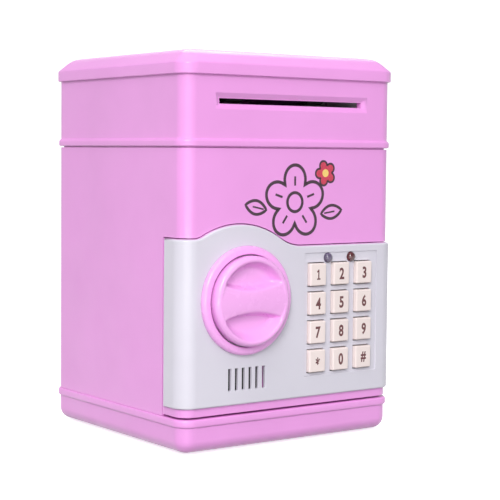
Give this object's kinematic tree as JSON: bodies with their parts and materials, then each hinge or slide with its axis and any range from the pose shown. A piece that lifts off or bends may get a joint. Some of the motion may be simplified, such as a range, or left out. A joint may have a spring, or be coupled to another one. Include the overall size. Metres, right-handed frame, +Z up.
{
  "type": "toy safe coin bank",
  "caption": "Box-shaped toy safe money bank with a hinged latched door, turning knob, push-button keypad, banknote slot with feed rollers, coin slot and battery base.",
  "frame": {"origin": "on the resting plane under the centre of the whole bank's box, knob included; the case itself is centred 3.5 mm further back", "axes": "+Z up, front with the door and keypad faces -Y, +X to the right seen from the front; the door's hinge is on +X"},
  "size_m": [0.1312, 0.1303, 0.19],
  "materials": {
    "pink_plastic": "smooth moulded ABS, soft gloss",
    "white_plastic": "smooth moulded ABS, soft gloss",
    "key_plastic": "warm white caps, soft gloss",
    "inner_plastic": "natural white moulded plastic",
    "rubber": "matt rubber",
    "pale_rubber": "matt silicone rubber",
    "steel": "zinc-plated steel",
    "brass": "machined brass",
    "circuit_board": "green solder resist",
    "black_plastic": "fine matt black",
    "copper_wire": "enamelled copper winding",
    "battery_wrap": "printed film sleeve",
    "led_grey": "tinted clear resin",
    "led_red": "tinted clear resin"
  },
  "bodies": {
    "casing": {"base_tray": "pink_plastic", "floor_panel": "pink_plastic", "rubber_feet": "rubber", "base_screws": "steel", "battery_cover": "pink_plastic", "battery_cover_screw": "steel", "battery_cells": "battery_wrap", "battery_contacts": "steel", "body_shell": "pink_plastic", "strike_plate": "steel", "hinge_pins": "steel", "mid_deck": "inner_plastic", "head_shell": "pink_plastic", "head_screws": "steel", "lid": "pink_plastic", "feeder_frame": "inner_plastic", "note_guide": "inner_plastic", "feeder_motor": "steel", "gear_pin": "steel", "note_sensor": "black_plastic"},
    "door": {"door_shell": "pink_plastic", "door_fascia": "white_plastic", "knob_ring": "pink_plastic", "door_back_cover": "inner_plastic", "door_screws": "steel", "keypad_membrane": "pale_rubber", "control_board": "circuit_board", "led_green": "led_grey", "led_red": "led_red", "speaker": "black_plastic", "solenoid_frame": "steel", "solenoid_coil": "copper_wire", "plunger_spring": "steel"},
    "latch_knob": {"knob": "pink_plastic", "latch_cam": "inner_plastic", "latch_tongue": "steel", "knob_screw": "steel"},
    "plunger": {"lock_plunger": "steel"},
    "drive_roller": {"drive_shaft": "steel", "drive_tyres": "rubber", "roller_gear": "inner_plastic"},
    "idler_roller": {"idler_shaft": "steel", "idler_tyres": "pale_rubber"},
    "reduction": {"reduction_gear": "inner_plastic"},
    "pinion": {"motor_pinion": "brass"},
    "key_1_button": {"key_1": "key_plastic"},
    "key_2_button": {"key_2": "key_plastic"},
    "key_3_button": {"key_3": "key_plastic"},
    "key_4_button": {"key_4": "key_plastic"},
    "key_5_button": {"key_5": "key_plastic"},
    "key_6_button": {"key_6": "key_plastic"},
    "key_7_button": {"key_7": "key_plastic"},
    "key_8_button": {"key_8": "key_plastic"},
    "key_9_button": {"key_9": "key_plastic"},
    "key_star_button": {"key_star": "key_plastic"},
    "key_0_button": {"key_0": "key_plastic"},
    "key_hash_button": {"key_hash": "key_plastic"}
  },
  "joints": [
    {"name": "door_hinge", "type": "hinge", "parent": "casing", "child": "door", "pos_m": [0.0622, -0.043, 0.06], "axis": [0, 0, 1], "range_deg": [0, 100]},
    {"name": "knob_turn", "type": "hinge", "parent": "door", "child": "latch_knob", "pos_m": [-0.0292, -0.0565, 0.0719], "axis": [0, -1, 0], "range_deg": [0, 90]},
    {"name": "lock_plunger_slide", "type": "slide", "parent": "door", "child": "plunger", "axis": [0, 0, -1], "range_m": [0, 0.003], "stiffness_N_per_m": 20, "springref_m": -0.0005, "deforming": ["plunger_spring"]},
    {"name": "drive_roller_spin", "type": "hinge", "parent": "casing", "child": "drive_roller", "pos_m": [0, -0.0385, 0.172], "axis": [1, 0, 0], "continuous": true},
    {"name": "idler_roller_spin", "type": "hinge", "parent": "casing", "child": "idler_roller", "pos_m": [0, -0.0385, 0.1597], "axis": [1, 0, 0], "continuous": true},
    {"name": "reduction_gear_spin", "type": "hinge", "parent": "casing", "child": "reduction", "pos_m": [0.052, -0.02497, 0.16708], "axis": [1, 0, 0], "continuous": true},
    {"name": "motor_pinion_spin", "type": "hinge", "parent": "casing", "child": "pinion", "pos_m": [0.052, -0.01777, 0.1546], "axis": [1, 0, 0], "continuous": true},
    {"name": "key_1_press", "type": "slide", "parent": "door", "child": "key_1_button", "axis": [0, 1, 0], "range_m": [0, 0.001], "stiffness_N_per_m": 400, "springref_m": -0.0005},
    {"name": "key_2_press", "type": "slide", "parent": "door", "child": "key_2_button", "axis": [0, 1, 0], "range_m": [0, 0.001], "stiffness_N_per_m": 400, "springref_m": -0.0005},
    {"name": "key_3_press", "type": "slide", "parent": "door", "child": "key_3_button", "axis": [0, 1, 0], "range_m": [0, 0.001], "stiffness_N_per_m": 400, "springref_m": -0.0005},
    {"name": "key_4_press", "type": "slide", "parent": "door", "child": "key_4_button", "axis": [0, 1, 0], "range_m": [0, 0.001], "stiffness_N_per_m": 400, "springref_m": -0.0005},
    {"name": "key_5_press", "type": "slide", "parent": "door", "child": "key_5_button", "axis": [0, 1, 0], "range_m": [0, 0.001], "stiffness_N_per_m": 400, "springref_m": -0.0005},
    {"name": "key_6_press", "type": "slide", "parent": "door", "child": "key_6_button", "axis": [0, 1, 0], "range_m": [0, 0.001], "stiffness_N_per_m": 400, "springref_m": -0.0005},
    {"name": "key_7_press", "type": "slide", "parent": "door", "child": "key_7_button", "axis": [0, 1, 0], "range_m": [0, 0.001], "stiffness_N_per_m": 400, "springref_m": -0.0005},
    {"name": "key_8_press", "type": "slide", "parent": "door", "child": "key_8_button", "axis": [0, 1, 0], "range_m": [0, 0.001], "stiffness_N_per_m": 400, "springref_m": -0.0005},
    {"name": "key_9_press", "type": "slide", "parent": "door", "child": "key_9_button", "axis": [0, 1, 0], "range_m": [0, 0.001], "stiffness_N_per_m": 400, "springref_m": -0.0005},
    {"name": "key_star_press", "type": "slide", "parent": "door", "child": "key_star_button", "axis": [0, 1, 0], "range_m": [0, 0.001], "stiffness_N_per_m": 400, "springref_m": -0.0005},
    {"name": "key_0_press", "type": "slide", "parent": "door", "child": "key_0_button", "axis": [0, 1, 0], "range_m": [0, 0.001], "stiffness_N_per_m": 400, "springref_m": -0.0005},
    {"name": "key_hash_press", "type": "slide", "parent": "door", "child": "key_hash_button", "axis": [0, 1, 0], "range_m": [0, 0.001], "stiffness_N_per_m": 400, "springref_m": -0.0005}
  ],
  "couplings": [
    {"joint": "idler_roller_spin", "follows": "drive_roller_spin", "ratio": -1},
    {"joint": "reduction_gear_spin", "follows": "drive_roller_spin", "ratio": -2},
    {"joint": "motor_pinion_spin", "follows": "drive_roller_spin", "ratio": 4}
  ]
}
